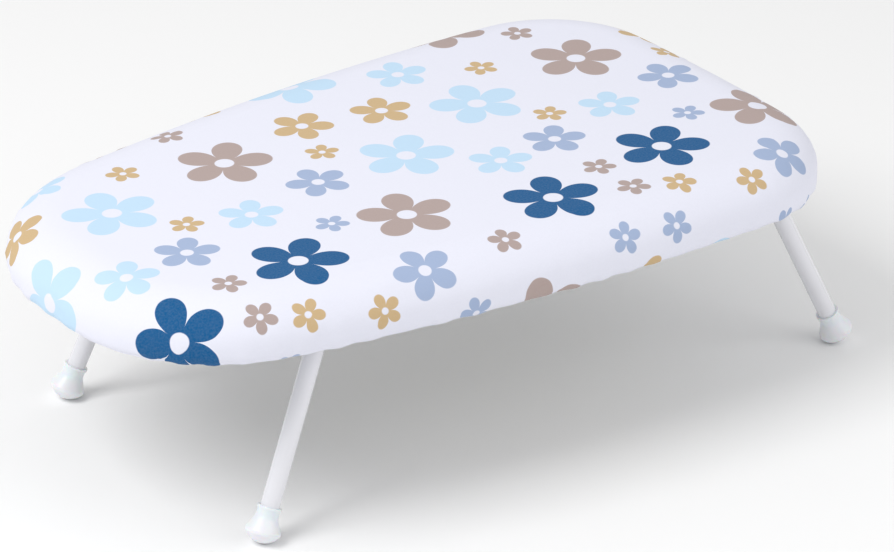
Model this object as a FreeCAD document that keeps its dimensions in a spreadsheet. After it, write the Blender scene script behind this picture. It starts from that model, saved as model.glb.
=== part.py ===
import FreeCAD, Part
import math
import os

import Sketcher

# Tabletop ironing board.  X runs along the board with the narrow nose at -X, Y across it, Z up.
# The origin is on the table, below the middle of the open board's footprint.

DIMENSIONS = {
    # the board's outline
    "board_length": 600,
    "board_width": 370,
    "board_height": 190,
    "nose_flat_half": 28,
    "nose_end_radius": 1200,
    "shoulder_radius": 130,
    "widest_from_tail": 165,
    "tail_corner_radius": 104,
    "tail_end_radius": 1900,
    # the fitted cover, and the elastic in its hem
    "cover_thickness": 1.2,
    "cover_depth": 44,
    "cover_top_round": 24,
    "cover_bottom_round": 8,
    "hem_inset": 21,
    "hem_width": 6.4,
    "hem_wall": 1,
    "elastic_diameter": 3,
    # the foam pad
    "foam_thickness": 6,
    "foam_side": 5,
    "soft_gap": 0.3,
    "foam_edge_gap": 0.5,
    # the pressed rim and the mesh panel
    "sheet_wall": 1.2,
    "rim_round": 15,
    "rim_flange": 27,
    "rim_gap": 0.8,
    "bead_width": 6,
    "bead_depth": 5.5,
    "bead_round": 2.6,
    "mesh_thickness": 1.5,
    "mesh_edge_gap": 0.5,
    "mesh_border": 16,
    "mesh_pitch_long": 36,
    "mesh_pitch_short": 17,
    "mesh_strand": 3,
    # the two cross rails
    "rail_width": 46,
    "rail_depth": 8.3,
    "rail_wall": 1.5,
    "weld_gap": 0.2,
    # the two legs
    "nose_pivot_inset": 156,
    "tail_pivot_margin": 48,
    "leg_tilt": 24.5,
    "shank_splay": 5.6,
    "leg_half_spacing": 117,
    "bend_radius": 30,
    "tube_diameter": 14,
    "tube_wall": 1.2,
    # the feet
    "sole_radius": 15,
    "foot_diameter": 26,
    "foot_edge": 2,
    "foot_edge_round": 0.9,
    "foot_sleeve_wall": 1.2,
    "foot_flare_top": 4,
    "foot_flare_round": 9,
    "foot_top": 12,
    "foot_lip": 0.7,
    "foot_lip_depth": 2,
    "foot_bore_depth": 16.8,
    "foot_fit": 0.04,
    # the pivots
    "bush_wall": 1.55,
    "bush_length": 24,
    "bush_play": 0.05,
    "bush_side_gap": 1.5,
    "saddle_width": 18,
    "strap_wall": 2,
    "ear_reach": 22,
    "rivet_inset": 6.2,
    "rivet_diameter": 4,
    "rivet_head_diameter": 7.6,
    "rivet_head_depth": 1.6,
    "rivet_fit": 0.05,
    "rivet_crown": 0.6,
    "rivet_skirt": 0.3,
    # the stops that the open legs lean on
    "stop_width": 22,
    "stop_drop": 26,
    "stop_gap": 0.3,
    "stop_offset": 1.8,
    # shares and margins used in several places
    "tube_round": 0.46,
    "cut_margin": 5,
}

HALF_LENGTH = "dims.board_length / 2"
HALF_WIDTH = "dims.board_width / 2"

# Levels above the table, from the top of the board down.
COVER_BOTTOM = "(dims.board_height - dims.cover_depth)"
FOAM_TOP = "(dims.board_height - dims.cover_thickness - dims.soft_gap)"
FOAM_BOTTOM = f"({COVER_BOTTOM} + dims.cover_bottom_round + dims.foam_edge_gap)"
RIM_TOP = f"({FOAM_TOP} - dims.foam_thickness - dims.soft_gap)"
RIM_BOTTOM = f"({COVER_BOTTOM} + dims.cover_thickness + dims.rim_gap)"
MESH_TOP = f"({RIM_TOP} - dims.sheet_wall)"
RAIL_TOP = f"({MESH_TOP} - dims.mesh_thickness)"
RAIL_BOTTOM = f"({RAIL_TOP} - dims.rail_depth)"
TUBE_RADIUS = "(dims.tube_diameter / 2)"
BUSH_RADIUS = f"({TUBE_RADIUS} + dims.bush_play + dims.bush_wall)"
PIVOT_LEVEL = f"({RAIL_BOTTOM} - {BUSH_RADIUS})"

# Insets from the board's outline, from the outside in.
FOAM_INSET = "(dims.cover_thickness + dims.soft_gap)"
RIM_INSET = f"({FOAM_INSET} + dims.foam_side + dims.soft_gap)"
MESH_INSET = f"({RIM_INSET} + dims.rim_round + dims.mesh_edge_gap)"

# The legs and what holds them.
STRAP_RADIUS = f"({BUSH_RADIUS} + dims.strap_wall)"
LEG_DROP = f"({PIVOT_LEVEL} - dims.sole_radius)"
SHANK_LENGTH = f"({LEG_DROP} / cos(dims.leg_tilt) / cos(dims.shank_splay))"
BEND_START = "(dims.leg_half_spacing - dims.bend_radius * tan(45 - dims.shank_splay / 2))"
SADDLE_PLACE = f"({BEND_START} - dims.bush_side_gap - dims.bush_length / 2)"
STOP_PLACE = "(dims.leg_half_spacing - dims.stop_offset)"

# The tail pivot moves in with a thicker tube, so that the stops keep clear of the hem.
TAIL_PIVOT_INSET = "(dims.tail_pivot_margin + dims.tube_diameter)"

# How far the tail feet stand past the board's end, which moves the middle of the footprint.
TAIL_OVERHANG = f"({LEG_DROP} * tan(dims.leg_tilt) + dims.foot_diameter / 2 - {TAIL_PIVOT_INSET})"

doc = FreeCAD.newDocument("ironing_board")
sheet = doc.addObject("Spreadsheet::Sheet", "dims")
for row, (alias, value) in enumerate(DIMENSIONS.items(), start=1):
    sheet.set(f"A{row}", alias)
    sheet.set(f"B{row}", str(value))
    sheet.setAlias(f"B{row}", alias)
doc.recompute()

sub_parts = []


def size(expression):
    """The present value of an expression over the sheet's sizes."""
    return float(sheet.evalExpression(str(expression)))


def name_part(label, item, placement=None):
    """Gives a finished sub-part its own label and, if it isn't at the origin, its placement."""
    item.Label = label
    if placement is not None:
        item.Placement = placement
    sub_parts.append(item)


# ---------------------------------------------------------------- sketches and features


def origin_plane(body, role):
    return next(item for item in body.Origin.OriginFeatures if item.Role == role)


def new_sketch(body, name, role):
    sketch = body.newObject("Sketcher::SketchObject", name)
    sketch.AttachmentSupport = [(origin_plane(body, role), "")]
    sketch.MapMode = "FlatFace"
    return sketch


def drive(sketch, kind, expression, *where):
    """Adds a sketch constraint whose value follows an expression."""
    index = sketch.addConstraint(Sketcher.Constraint(kind, *where, size(expression)))
    sketch.setExpression(f"Constraints[{index}]", str(expression))


def polygon(sketch, corners):
    """A closed outline of straight edges through corners given as expressions."""
    points = [FreeCAD.Vector(size(x), size(y), 0) for x, y in corners]
    first = sketch.GeometryCount
    count = len(points)
    for k in range(count):
        sketch.addGeometry(Part.LineSegment(points[k], points[(k + 1) % count]))
    for k in range(count):
        after = first + (k + 1) % count
        sketch.addConstraint(Sketcher.Constraint("Coincident", first + k, 2, after, 1))
    for k, (x, y) in enumerate(corners):
        drive(sketch, "DistanceX", x, -1, 1, first + k, 1)
        drive(sketch, "DistanceY", y, -1, 1, first + k, 1)


def rectangle(sketch, left, right, low, high):
    polygon(sketch, [(left, low), (right, low), (right, high), (left, high)])


def circle(sketch, x, y, radius):
    centre = FreeCAD.Vector(size(x), size(y), 0)
    index = sketch.addGeometry(Part.Circle(centre, FreeCAD.Vector(0, 0, 1), size(radius)))
    drive(sketch, "Radius", radius, index)
    drive(sketch, "DistanceX", x, -1, 1, index, 3)
    drive(sketch, "DistanceY", y, -1, 1, index, 3)


def outline_arcs():
    """The five round stretches of the upper half outline: centre and radius of each, nose first.

    The side arc's radius follows from touching both the shoulder arc and the line of full width.
    """
    nose = FreeCAD.Vector(size("dims.nose_end_radius - dims.board_length / 2"), 0, 0)
    nose_radius = size("dims.nose_end_radius")
    shoulder_radius = size("dims.shoulder_radius")
    shoulder_y = size("dims.nose_flat_half") * (1 - shoulder_radius / nose_radius)
    reach = nose_radius - shoulder_radius
    shoulder = FreeCAD.Vector(nose.x - math.sqrt(reach**2 - shoulder_y**2), shoulder_y, 0)
    widest = size("dims.board_length / 2 - dims.widest_from_tail")
    rise = size(HALF_WIDTH) - shoulder_y
    side_radius = ((widest - shoulder.x) ** 2 + rise**2 - shoulder_radius**2) / 2 / (rise - shoulder_radius)
    side = FreeCAD.Vector(widest, size(HALF_WIDTH) - side_radius, 0)
    tail_radius = size("dims.tail_end_radius")
    tail = FreeCAD.Vector(size("dims.board_length / 2 - dims.tail_end_radius"), 0, 0)
    corner_radius = size("dims.tail_corner_radius")
    corner = meeting_point(tail, tail_radius - corner_radius, side, side_radius - corner_radius)
    return [
        (nose, nose_radius),
        (shoulder, shoulder_radius),
        (side, side_radius),
        (corner, corner_radius),
        (tail, tail_radius),
    ]


def meeting_point(first, first_reach, second, second_reach):
    """The upper right of the two points at the given distances from two centres."""
    apart = second - first
    span = apart.Length
    along = (first_reach**2 - second_reach**2 + span**2) / (2 * span)
    across = math.sqrt(first_reach**2 - along**2)
    unit = apart / span
    sideways = FreeCAD.Vector(-unit.y, unit.x, 0)
    points = [first + unit * along + sideways * across, first + unit * along - sideways * across]
    return max(points, key=lambda point: point.x)


def board_outline(sketch, inset):
    """The board's outline moved inwards by an inset: eight tangent arcs, closed and symmetric about X."""
    upper = outline_arcs()
    gap = size(inset)
    loop = upper + [(FreeCAD.Vector(c.x, -c.y, 0), radius) for c, radius in reversed(upper[1:-1])]
    joints = [joint_angle(loop[k], loop[(k + 1) % len(loop)]) for k in range(len(loop))]
    first = sketch.GeometryCount
    for k, (centre, radius) in enumerate(loop):
        ring = Part.Circle(centre, FreeCAD.Vector(0, 0, 1), radius - gap)
        sketch.addGeometry(Part.ArcOfCircle(ring, joints[k], joints[k - 1]))
    count = len(loop)
    for k in range(count):
        after = first + (k + 1) % count
        sketch.addConstraint(Sketcher.Constraint("Tangent", first + k, 1, after, 2))
    nose, shoulder, side, corner, tail, low_corner, low_side, low_shoulder = range(first, first + count)
    for end in (nose, tail):
        sketch.addConstraint(Sketcher.Constraint("PointOnObject", end, 3, -1))
    for above, below in ((shoulder, low_shoulder), (side, low_side)):
        sketch.addConstraint(Sketcher.Constraint("Vertical", above, 3, below, 3))
    for above, below in ((shoulder, low_shoulder), (side, low_side), (corner, low_corner)):
        sketch.addConstraint(Sketcher.Constraint("Equal", above, below))
    drive(sketch, "Radius", f"dims.nose_end_radius - {inset}", nose)
    drive(sketch, "DistanceX", f"dims.nose_end_radius - {HALF_LENGTH}", -1, 1, nose, 3)
    drive(sketch, "Radius", f"dims.shoulder_radius - {inset}", shoulder)
    drive(sketch, "DistanceY", "dims.nose_flat_half * (1 - dims.shoulder_radius / dims.nose_end_radius)",
          -1, 1, shoulder, 3)
    drive(sketch, "DistanceX", f"{HALF_LENGTH} - dims.widest_from_tail", -1, 1, side, 3)
    drive(sketch, "Radius", f"dims.tail_corner_radius - {inset}", corner)
    drive(sketch, "Radius", f"dims.tail_end_radius - {inset}", tail)
    drive(sketch, "DistanceX", f"{HALF_LENGTH} - dims.tail_end_radius", -1, 1, tail, 3)
    add_widest_point(sketch, side, f"{HALF_WIDTH} - {inset}")


def joint_angle(here, there):
    """The direction, seen from their centres, in which two touching arcs meet."""
    small, large = sorted((here, there), key=lambda arc: arc[1])
    way = small[0] - large[0]
    return math.atan2(way.y, way.x) % (2 * math.pi)


def add_widest_point(sketch, side, reach):
    """A construction point at the top of the side arc, which holds the board's full width."""
    top = sketch.getPoint(side, 3) + FreeCAD.Vector(0, sketch.Geometry[side].Radius, 0)
    point = sketch.addGeometry(Part.Point(top), True)
    sketch.addConstraint(Sketcher.Constraint("PointOnObject", point, 1, side))
    sketch.addConstraint(Sketcher.Constraint("Vertical", point, 1, side, 3))
    drive(sketch, "DistanceY", reach, -1, 1, point, 1)


def pad(body, name, sketch, length, symmetric=False):
    feature = body.newObject("PartDesign::Pad", name)
    feature.Profile = sketch
    feature.SideType = "Symmetric" if symmetric else "One side"
    feature.setExpression("Length", str(length))
    return feature


def pocket_through(body, name, sketch):
    feature = body.newObject("PartDesign::Pocket", name)
    feature.Profile = sketch
    feature.SideType = "Symmetric"
    feature.Type = "ThroughAll"
    return feature


def fillet(body, name, base, radius, wanted):
    """Rounds the edges of a feature that the test picks out."""
    doc.recompute()
    edges = [f"Edge{k}" for k, edge in enumerate(base.Shape.Edges, start=1) if wanted(edge)]
    feature = body.newObject("PartDesign::Fillet", name)
    feature.Base = (base, edges)
    feature.setExpression("Radius", str(radius))
    return feature


def at_level(level):
    """A test for edges that lie flat at a height in the body's own frame."""
    return lambda edge: abs(edge.BoundBox.ZMin - level) + abs(edge.BoundBox.ZMax - level) < 1e-4


def outline_body(name, insets, low, high, top_round=None, low_round=None):
    """A slab, or with two insets a ring, of the board's outline between two levels, with rounded rims."""
    body = doc.addObject("PartDesign::Body", name)
    sketch = new_sketch(body, f"{name}_outline", "XY_Plane")
    for inset in insets:
        board_outline(sketch, inset)
    depth = f"{high} - {low}"
    feature = pad(body, f"{name}_pad", sketch, depth)
    if top_round is not None:
        feature = fillet(body, f"{name}_top", feature, top_round, at_level(size(depth)))
    if low_round is not None:
        fillet(body, f"{name}_low", feature, low_round, at_level(0))
    body.setExpression("Placement.Base.z", low)
    return body


def combine(kind, name, base, tool):
    """A Part boolean of two objects: Cut, Common or Fuse."""
    item = doc.addObject(f"Part::{kind}", name)
    item.Base = base
    item.Tool = tool
    return item


# ---------------------------------------------------------------- cover, elastic and foam


def make_cover():
    """The fitted cotton cover: a thin shell that returns under the board and ends in an elastic's hem."""
    thick = "dims.cover_thickness"
    outside = outline_body("cover_outside", ["0"], COVER_BOTTOM, "dims.board_height",
                           "dims.cover_top_round", "dims.cover_bottom_round")
    inside = outline_body("cover_inside", [thick], f"({COVER_BOTTOM} + {thick})",
                          f"(dims.board_height - {thick})",
                          f"dims.cover_top_round - {thick}", f"dims.cover_bottom_round - {thick}")
    shell = combine("Cut", "cover_shell", outside, inside)
    hem_end = "(dims.hem_inset + dims.hem_width)"
    mouth = outline_body("cover_mouth", [f"(dims.hem_inset + dims.hem_width / 2)"],
                         f"({COVER_BOTTOM} - dims.cut_margin)", f"({COVER_BOTTOM} + dims.cut_margin)")
    skirt = combine("Cut", "cover_skirt", shell, mouth)
    low = f"({COVER_BOTTOM} - dims.hem_wall / 2)"
    hem = outline_body("cover_hem", ["dims.hem_inset", hem_end], low, f"({low} + dims.hem_width)",
                       "dims.hem_width * dims.tube_round", "dims.hem_width * dims.tube_round")
    sewn = combine("Fuse", "cover_sewn", skirt, hem)
    wall = "dims.hem_wall"
    channel = outline_body("cover_channel", [f"(dims.hem_inset + {wall})", f"({hem_end} - {wall})"],
                           f"({low} + {wall})", f"({low} + dims.hem_width - {wall})",
                           f"(dims.hem_width - 2 * {wall}) * dims.tube_round",
                           f"(dims.hem_width - 2 * {wall}) * dims.tube_round")
    name_part("cover", combine("Cut", "cover_with_channel", sewn, channel))


def make_elastic():
    """The elastic cord inside the hem, a closed ring that follows the outline."""
    slack = "((dims.hem_width - dims.elastic_diameter) / 2)"
    start = f"(dims.hem_inset + {slack})"
    low = f"({COVER_BOTTOM} - dims.hem_wall / 2 + {slack})"
    body = outline_body("elastic", [start, f"({start} + dims.elastic_diameter)"],
                        low, f"({low} + dims.elastic_diameter)",
                        "dims.elastic_diameter * dims.tube_round", "dims.elastic_diameter * dims.tube_round")
    name_part("hem_elastic", body)


def make_foam():
    """The foam pad: it lies on the rim and mesh and wraps down the rim's side."""
    outside = outline_body("foam_outside", [FOAM_INSET], FOAM_BOTTOM, FOAM_TOP,
                           f"dims.cover_top_round - {FOAM_INSET}")
    inside = outline_body("foam_inside", [f"({FOAM_INSET} + dims.foam_side)"],
                          f"({FOAM_BOTTOM} - dims.cut_margin)", f"({FOAM_TOP} - dims.foam_thickness)",
                          "dims.rim_round + dims.soft_gap")
    name_part("foam_pad", combine("Cut", "foam", outside, inside))


# ---------------------------------------------------------------- rim, mesh and rails


def make_rim():
    """The pressed steel rim: a skirt with a flange turned in at the top and a rolled bead at the bottom."""
    wall = "dims.sheet_wall"
    outside = outline_body("rim_outside", [RIM_INSET], RIM_BOTTOM, RIM_TOP, "dims.rim_round", "dims.bead_round")
    inside = outline_body("rim_inside", [f"({RIM_INSET} + {wall})"], f"({RIM_BOTTOM} - dims.cut_margin)",
                          f"({RIM_TOP} - {wall})", f"dims.rim_round - {wall}")
    pressing = combine("Cut", "rim_pressing", outside, inside)
    window = outline_body("rim_window", [f"({RIM_INSET} + dims.rim_flange)"],
                          f"({RIM_TOP} - dims.cut_margin)", f"({RIM_TOP} + dims.cut_margin)")
    flanged = combine("Cut", "rim_flanged", pressing, window)
    bead = outline_body("rim_bead", [RIM_INSET, f"({RIM_INSET} + dims.bead_width)"], RIM_BOTTOM,
                        f"({RIM_BOTTOM} + dims.bead_depth)", "dims.bead_round", "dims.bead_round")
    name_part("rim_frame", combine("Fuse", "rim", flanged, bead))


def mesh_holes(face, border):
    """Diamond wires on a staggered grid, for every hole that lies whole inside the border."""
    along = size("dims.mesh_pitch_long")
    across = size("dims.mesh_pitch_short")
    half_long = (along - size("dims.mesh_strand") * along / across) / 2
    half_short = (across - size("dims.mesh_strand")) / 2
    inside = border.BoundBox
    wires = []
    for row in range(-int(inside.YMax / across * 2), int(inside.YMax / across * 2) + 1):
        y = row * across / 2
        shift = along / 2 if row % 2 else 0
        for column in range(int(inside.XMin / along) - 1, int(inside.XMax / along) + 2):
            x = column * along + shift
            tips = [(x - half_long, y), (x, y - half_short), (x + half_long, y), (x, y + half_short)]
            corners = [FreeCAD.Vector(tip_x, tip_y, 0) for tip_x, tip_y in tips]
            if all(border.isInside(corner, 1e-3, True) for corner in corners):
                wires.append(Part.makePolygon(corners + corners[:1]))
    return wires


def make_mesh():
    """The expanded mesh panel under the rim's flange: hundreds of like holes in one sheet."""
    panel = outline_body("mesh_outline", [MESH_INSET], "0", "dims.mesh_thickness")
    border = outline_body("mesh_border_line", [f"({MESH_INSET} + dims.mesh_border)"], "0", "dims.mesh_thickness")
    doc.recompute()
    sheet_face = min(panel.Shape.Faces, key=lambda face: face.CenterOfMass.z)
    border_face = min(border.Shape.Faces, key=lambda face: face.CenterOfMass.z)
    holes = mesh_holes(sheet_face, border_face)
    face = Part.Face([sheet_face.OuterWire] + holes)
    face.validate()
    for helper in (panel, border):
        helper.removeObjectsFromDocument()
        doc.removeObject(helper.Name)
    mesh = doc.addObject("Part::Feature", "mesh")
    mesh.Shape = face.extrude(FreeCAD.Vector(0, 0, size("dims.mesh_thickness")))
    name_part("mesh_panel", mesh, FreeCAD.Placement(FreeCAD.Vector(0, 0, size(RAIL_TOP)), FreeCAD.Rotation()))


def rivet_places():
    """Where the rivets go through a rail, as expressions of X from the pivot and Y: saddles, then stops."""
    reach = "(dims.ear_reach - dims.rivet_inset)"
    saddles = [(f"{x} * {reach}", f"{y} * {SADDLE_PLACE}") for x in (-1, 1) for y in (-1, 1)]
    stops = [(f"-1 * {reach}", f"{y} * {STOP_PLACE}") for y in (-1, 1)]
    return saddles, stops


def make_rail(end, turn):
    """A channel across the board, open upwards, its ends trimmed to the inside of the rim."""
    body = doc.addObject("PartDesign::Body", f"{end}_channel")
    profile = new_sketch(body, f"{end}_channel_profile", "XZ_Plane")
    half = "dims.rail_width / 2"
    inner = f"({half} - dims.rail_wall)"
    corners = [(f"-{half}", "0"), (half, "0"), (half, "dims.rail_depth"), (inner, "dims.rail_depth"),
               (inner, "dims.rail_wall"), (f"-{inner}", "dims.rail_wall"), (f"-{inner}", "dims.rail_depth"),
               (f"-{half}", "dims.rail_depth")]
    polygon(profile, corners)
    pad(body, f"{end}_channel_pad", profile, "dims.board_width", symmetric=True)
    holes = new_sketch(body, f"{end}_channel_holes", "XY_Plane")
    for places in rivet_places():
        for x, y in places:
            circle(holes, x, y, "dims.rivet_diameter / 2 + dims.rivet_fit")
    pocket_through(body, f"{end}_channel_drilled", holes)
    body.Placement = turn * FreeCAD.Placement(FreeCAD.Vector(0, 0, size(RAIL_BOTTOM)), FreeCAD.Rotation())
    gap = f"({RIM_INSET} + dims.sheet_wall + dims.weld_gap)"
    envelope = outline_body(f"{end}_rail_envelope", [gap], f"({RAIL_BOTTOM} - dims.cut_margin)",
                            f"({MESH_TOP} - dims.weld_gap)",
                            "dims.rim_round - dims.sheet_wall - dims.weld_gap")
    name_part(f"{end}_cross_rail", combine("Common", f"{end}_rail", body, envelope))


# ---------------------------------------------------------------- legs and feet


def make_leg_tube(end, leg_frame):
    """One leg: a round tube bent into a U, whose crossbar turns in the bushes."""
    body = doc.addObject("PartDesign::Body", f"{end}_tube")
    path = new_sketch(body, f"{end}_tube_path", "YZ_Plane")
    leg_path(path)
    ring = new_sketch(body, f"{end}_tube_ring", "XZ_Plane")
    circle(ring, "0", "0", TUBE_RADIUS)
    circle(ring, "0", "0", f"{TUBE_RADIUS} - dims.tube_wall")
    pipe = body.newObject("PartDesign::AdditivePipe", f"{end}_tube_half")
    pipe.Profile = ring
    pipe.Spine = (path, ["Edge1", "Edge2", "Edge3"])
    doc.recompute()
    mirrored = body.newObject("PartDesign::Mirrored", f"{end}_tube_whole")
    mirrored.Originals = [pipe]
    mirrored.MirrorPlane = (origin_plane(body, "XZ_Plane"), [""])
    body.Tip = mirrored
    name_part(f"{end}_leg_tube", body, leg_frame)


def leg_path(sketch):
    """Half the leg's centre line from the middle of the crossbar: straight, bend, splayed shank."""
    splay = math.radians(size("dims.shank_splay"))
    start = FreeCAD.Vector(size(BEND_START), 0, 0)
    radius = size("dims.bend_radius")
    centre = start - FreeCAD.Vector(0, radius, 0)
    bend = Part.ArcOfCircle(Part.Circle(centre, FreeCAD.Vector(0, 0, 1), radius), splay, math.pi / 2)
    bend_end = centre + FreeCAD.Vector(math.cos(splay), math.sin(splay), 0) * radius
    inserted = "(dims.foot_bore_depth - dims.foot_top - dims.foot_fit)"
    depth = f"({SHANK_LENGTH} + {inserted}) * cos(dims.shank_splay)"
    fall = size(depth) + bend_end.y
    tip = bend_end + FreeCAD.Vector(math.tan(splay), -1, 0) * fall
    sketch.addGeometry([Part.LineSegment(FreeCAD.Vector(), start), bend, Part.LineSegment(bend_end, tip)])
    sketch.addConstraint(Sketcher.Constraint("Coincident", 0, 1, -1, 1))
    sketch.addConstraint(Sketcher.Constraint("Horizontal", 0))
    sketch.addConstraint(Sketcher.Constraint("Tangent", 0, 2, 1, 2))
    sketch.addConstraint(Sketcher.Constraint("Tangent", 1, 1, 2, 1))
    drive(sketch, "DistanceX", BEND_START, 0, 1, 0, 2)
    drive(sketch, "Radius", "dims.bend_radius", 1)
    drive(sketch, "DistanceY", f"-({depth})", -1, 1, 2, 2)
    drive(sketch, "DistanceX", f"dims.leg_half_spacing + ({depth}) * tan(dims.shank_splay)", -1, 1, 2, 2)


def make_foot(label, foot_frame):
    """A moulded foot: domed sole, flared bell, sleeve with a lip, and a blind bore for the tube."""
    body = doc.addObject("PartDesign::Body", f"{label}_body")
    sketch = new_sketch(body, f"{label}_profile", "XZ_Plane")
    bore = f"({TUBE_RADIUS} + dims.foot_fit)"
    sleeve = f"({bore} + dims.foot_sleeve_wall)"
    lip = f"({sleeve} + dims.foot_lip)"
    edge = "(dims.foot_diameter / 2)"
    dome_top = f"(-sqrt(dims.sole_radius ^ 2 - {edge} ^ 2))"
    corners = [(edge, dome_top), (edge, f"{dome_top} + dims.foot_edge"), (sleeve, "dims.foot_flare_top"),
               (sleeve, "dims.foot_top - dims.foot_lip_depth"), (lip, "dims.foot_top - dims.foot_lip_depth"),
               (lip, "dims.foot_top"), (bore, "dims.foot_top"), (bore, "dims.foot_top - dims.foot_bore_depth"),
               ("0", "dims.foot_top - dims.foot_bore_depth"), ("0", "-dims.sole_radius")]
    points = [FreeCAD.Vector(size(x), size(y), 0) for x, y in corners]
    for k in range(len(points) - 1):
        sketch.addGeometry(Part.LineSegment(points[k], points[k + 1]))
    dome_end = math.atan2(points[0].y, points[0].x)
    dome = Part.Circle(FreeCAD.Vector(), FreeCAD.Vector(0, 0, 1), size("dims.sole_radius"))
    sole = sketch.addGeometry(Part.ArcOfCircle(dome, -math.pi / 2, dome_end))
    for k in range(len(points) - 2):
        sketch.addConstraint(Sketcher.Constraint("Coincident", k, 2, k + 1, 1))
    for k, (x, y) in enumerate(corners[:-1]):
        drive(sketch, "DistanceX", x, -1, 1, k, 1)
        drive(sketch, "DistanceY", y, -1, 1, k, 1)
    sketch.addConstraint(Sketcher.Constraint("Coincident", sole, 3, -1, 1))
    sketch.addConstraint(Sketcher.Constraint("Coincident", sole, 2, 0, 1))
    sketch.addConstraint(Sketcher.Constraint("Coincident", sole, 1, sole - 1, 2))
    sketch.addConstraint(Sketcher.Constraint("Vertical", sole - 1))
    turned = body.newObject("PartDesign::Revolution", f"{label}_turned")
    turned.Profile = sketch
    turned.ReferenceAxis = (sketch, ["V_Axis"])
    turned.Angle = 360
    flared = fillet(body, f"{label}_flare", turned, "dims.foot_flare_round",
                    ring_at(sleeve, "dims.foot_flare_top"))
    rimmed = fillet(body, f"{label}_edge", flared, "dims.foot_edge_round", ring_at(edge, dome_top))
    fillet(body, f"{label}_shoulder", rimmed, "dims.foot_edge_round", ring_at(edge, f"{dome_top} + dims.foot_edge"))
    name_part(label, body, foot_frame)


def ring_at(radius, level):
    """A test for a round edge of a given radius about Z at a height in the body's own frame."""
    wanted_radius = size(radius)
    at_height = at_level(size(level))
    return lambda edge: at_height(edge) and abs(edge.BoundBox.XMax - wanted_radius) < 1e-4


# ---------------------------------------------------------------- pivots and stops


def make_bush(label, frame):
    """A plain nylon bush that the crossbar turns in."""
    body = doc.addObject("PartDesign::Body", f"{label}_body")
    ring = new_sketch(body, f"{label}_ring", "XZ_Plane")
    circle(ring, "0", "0", BUSH_RADIUS)
    circle(ring, "0", "0", f"{TUBE_RADIUS} + dims.bush_play")
    pad(body, f"{label}_sleeve", ring, "dims.bush_length", symmetric=True)
    name_part(label, body, frame)


def make_saddle(label, frame):
    """The strap that holds a bush up against its rail: a U with two riveted ears."""
    body = doc.addObject("PartDesign::Body", f"{label}_body")
    ears = new_sketch(body, f"{label}_ears", "XZ_Plane")
    rectangle(ears, "-dims.ear_reach", "dims.ear_reach", f"{BUSH_RADIUS} - dims.strap_wall", BUSH_RADIUS)
    pad(body, f"{label}_ear_pad", ears, "dims.saddle_width", symmetric=True)
    sides = new_sketch(body, f"{label}_sides", "XZ_Plane")
    rectangle(sides, f"-{STRAP_RADIUS}", STRAP_RADIUS, "0", BUSH_RADIUS)
    pad(body, f"{label}_side_pad", sides, "dims.saddle_width", symmetric=True)
    wrap = new_sketch(body, f"{label}_wrap", "XZ_Plane")
    circle(wrap, "0", "0", STRAP_RADIUS)
    pad(body, f"{label}_wrap_pad", wrap, "dims.saddle_width", symmetric=True)
    slot = new_sketch(body, f"{label}_slot", "XZ_Plane")
    rectangle(slot, f"-{BUSH_RADIUS}", BUSH_RADIUS, "0", f"{BUSH_RADIUS} + dims.strap_wall")
    pocket_through(body, f"{label}_slot_cut", slot)
    seat = new_sketch(body, f"{label}_seat", "XZ_Plane")
    circle(seat, "0", "0", BUSH_RADIUS)
    pocket_through(body, f"{label}_seat_cut", seat)
    holes = new_sketch(body, f"{label}_holes", "XY_Plane")
    for side in (-1, 1):
        circle(holes, f"{side} * (dims.ear_reach - dims.rivet_inset)", "0",
               "dims.rivet_diameter / 2 + dims.rivet_fit")
    pocket_through(body, f"{label}_hole_cut", holes)
    name_part(label, body, frame)


def make_stop(label, frame):
    """A bent bracket on the outer side of a shank: a riveted tab, and a plate that the open leg leans on."""
    body = doc.addObject("PartDesign::Body", f"{label}_body")
    sketch = new_sketch(body, f"{label}_profile", "XZ_Plane")
    near = f"({TUBE_RADIUS} + dims.stop_gap)"
    far = f"({near} + dims.strap_wall)"
    tab = f"({BUSH_RADIUS} - dims.strap_wall)"
    corners = [("-dims.ear_reach", BUSH_RADIUS), ("-dims.ear_reach", tab), plate_point(far, level=tab),
               plate_point(far, drop="dims.stop_drop"), plate_point(near, drop="dims.stop_drop"),
               plate_point(near, level=BUSH_RADIUS)]
    polygon(sketch, corners)
    pad(body, f"{label}_pad", sketch, "dims.stop_width", symmetric=True)
    holes = new_sketch(body, f"{label}_holes", "XY_Plane")
    circle(holes, "-(dims.ear_reach - dims.rivet_inset)", "0", "dims.rivet_diameter / 2 + dims.rivet_fit")
    pocket_through(body, f"{label}_hole_cut", holes)
    name_part(label, body, frame)


def plate_point(distance, level=None, drop=None):
    """A point on a line parallel to the open leg, at a distance outside its axis.

    It is found at a level above the pivot, or at a drop along the leg below it.
    """
    if drop is None:
        drop = f"(({distance} * sin(dims.leg_tilt) - {level}) / cos(dims.leg_tilt))"
    x = f"-({distance} * cos(dims.leg_tilt) + {drop} * sin(dims.leg_tilt))"
    z = f"({distance} * sin(dims.leg_tilt) - {drop} * cos(dims.leg_tilt))"
    return x, z


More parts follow.
